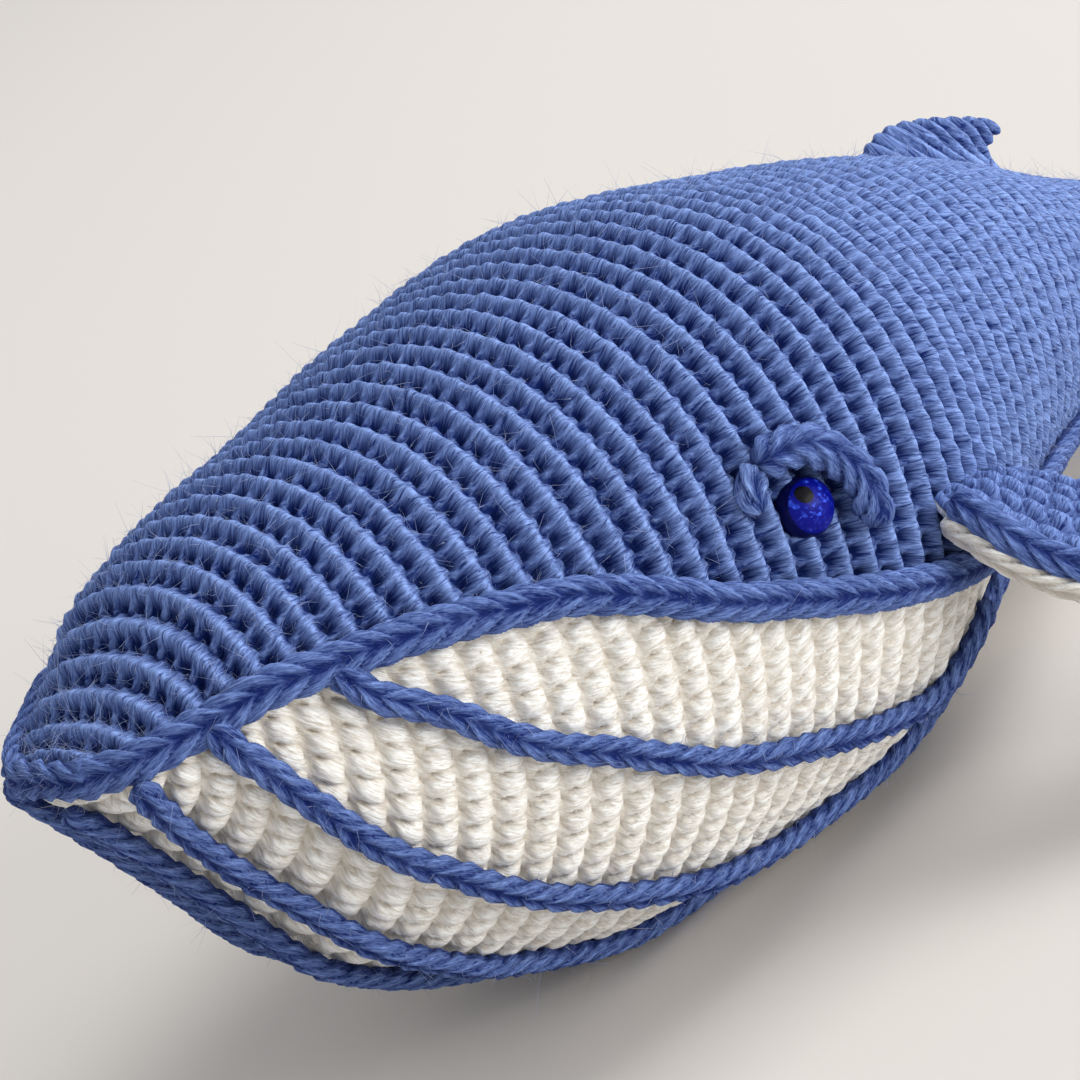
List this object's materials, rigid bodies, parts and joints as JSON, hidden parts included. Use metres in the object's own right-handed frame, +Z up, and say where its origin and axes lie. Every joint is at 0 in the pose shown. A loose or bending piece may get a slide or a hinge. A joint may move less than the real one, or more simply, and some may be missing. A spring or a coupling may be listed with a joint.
{
  "type": "crocheted plush whale",
  "caption": "Crocheted stuffed whale with a pleated throat, plastic eyes, two hinged flippers, a dorsal fin and tail flukes that flap.",
  "frame": {"origin": "centre of the box round the toy, on the floor it lies on", "axes": "+Z up, -X towards the nose, +X along the toy's length towards the flukes, -Y the whale's left side"},
  "size_m": [0.3481, 0.2194, 0.1003],
  "materials": {
    "blue_yarn": "matte spun cotton, crocheted",
    "dark_blue_yarn": "matte spun cotton, crocheted chain",
    "cream_yarn": "matte spun cotton, crocheted",
    "blue_plastic": "clear gloss over glitter",
    "white_plastic": "plain moulded",
    "filling": "loose polyester fibre"
  },
  "bodies": {
    "body": {"back_panel": "blue_yarn", "belly_panel": "cream_yarn", "body_stuffing": "filling", "lip_chain": "blue_yarn", "pleat_keel": "dark_blue_yarn", "pleat_left_1": "dark_blue_yarn", "pleat_left_2": "dark_blue_yarn", "pleat_left_3": "dark_blue_yarn", "eye_left": "blue_plastic", "eye_washer_left": "white_plastic", "eyelid_left": "blue_yarn", "pleat_right_1": "dark_blue_yarn", "pleat_right_2": "dark_blue_yarn", "pleat_right_3": "dark_blue_yarn", "eye_right": "blue_plastic", "eye_washer_right": "white_plastic", "eyelid_right": "blue_yarn", "dorsal_fin": "blue_yarn"},
    "flipper_left": {"flipper_left_top": "blue_yarn", "flipper_left_underside": "cream_yarn"},
    "flipper_right": {"flipper_right_top": "blue_yarn", "flipper_right_underside": "cream_yarn"},
    "flukes": {"fluke_left": "blue_yarn", "fluke_right": "blue_yarn"}
  },
  "joints": [
    {"name": "left_flipper_flap", "type": "hinge", "parent": "body", "child": "flipper_left", "pos_m": [-0.0371, -0.05648, 0.0472], "axis": [-0.9362, -0.2349, 0.2614], "range_deg": [-20, 45], "stiffness_Nm_per_rad": 0.2},
    {"name": "right_flipper_flap", "type": "hinge", "parent": "body", "child": "flipper_right", "pos_m": [-0.0371, 0.05648, 0.0472], "axis": [0.9362, -0.2349, -0.2614], "range_deg": [-20, 45], "stiffness_Nm_per_rad": 0.2},
    {"name": "flukes_flap", "type": "hinge", "parent": "body", "child": "flukes", "pos_m": [0.13673, 0, 0.00868], "axis": [0, -1, 0], "range_deg": [-8, 40], "stiffness_Nm_per_rad": 0.2}
  ]
}
